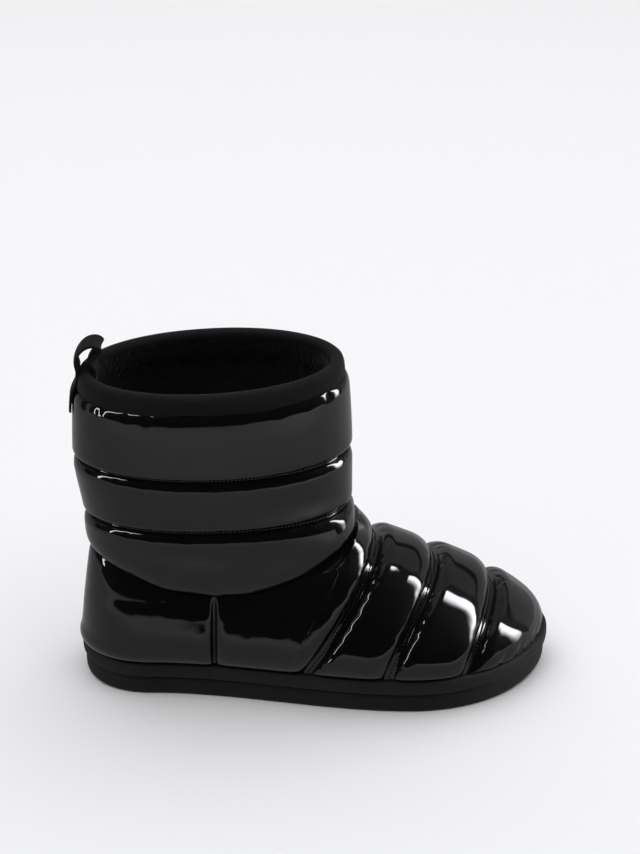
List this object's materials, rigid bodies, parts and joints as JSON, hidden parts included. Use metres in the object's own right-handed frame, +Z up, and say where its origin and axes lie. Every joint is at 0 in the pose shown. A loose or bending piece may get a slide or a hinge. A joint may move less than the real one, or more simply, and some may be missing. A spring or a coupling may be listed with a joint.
{
  "type": "ankle boot",
  "caption": "Quilted patent faux leather ankle boot for the right foot, with a padded channelled shaft, slanted vamp seams, a ribbon pull loop and a flat foam sole.",
  "frame": {"origin": "on the floor under the middle of the sole's length, on the sole's flat lower face", "axes": "+X to the toe, +Y to the inner (medial) side of the right foot, +Z up"},
  "size_m": [0.2861, 0.1178, 0.2132],
  "materials": {
    "patent_faux_leather": "black patent coating, mirror gloss, over wadding",
    "ribbon": "matte black woven ribbon",
    "fleece": "black curly fleece",
    "midsole_foam": "matte black foam",
    "outsole_foam": "matte black foam"
  },
  "bodies": {
    "root": {"outsole": "outsole_foam", "midsole": "midsole_foam", "insole": "fleece", "upper": "patent_faux_leather", "shaft": "patent_faux_leather", "collar_binding": "ribbon", "pull_loop": "ribbon"}
  },
  "joints": []
}
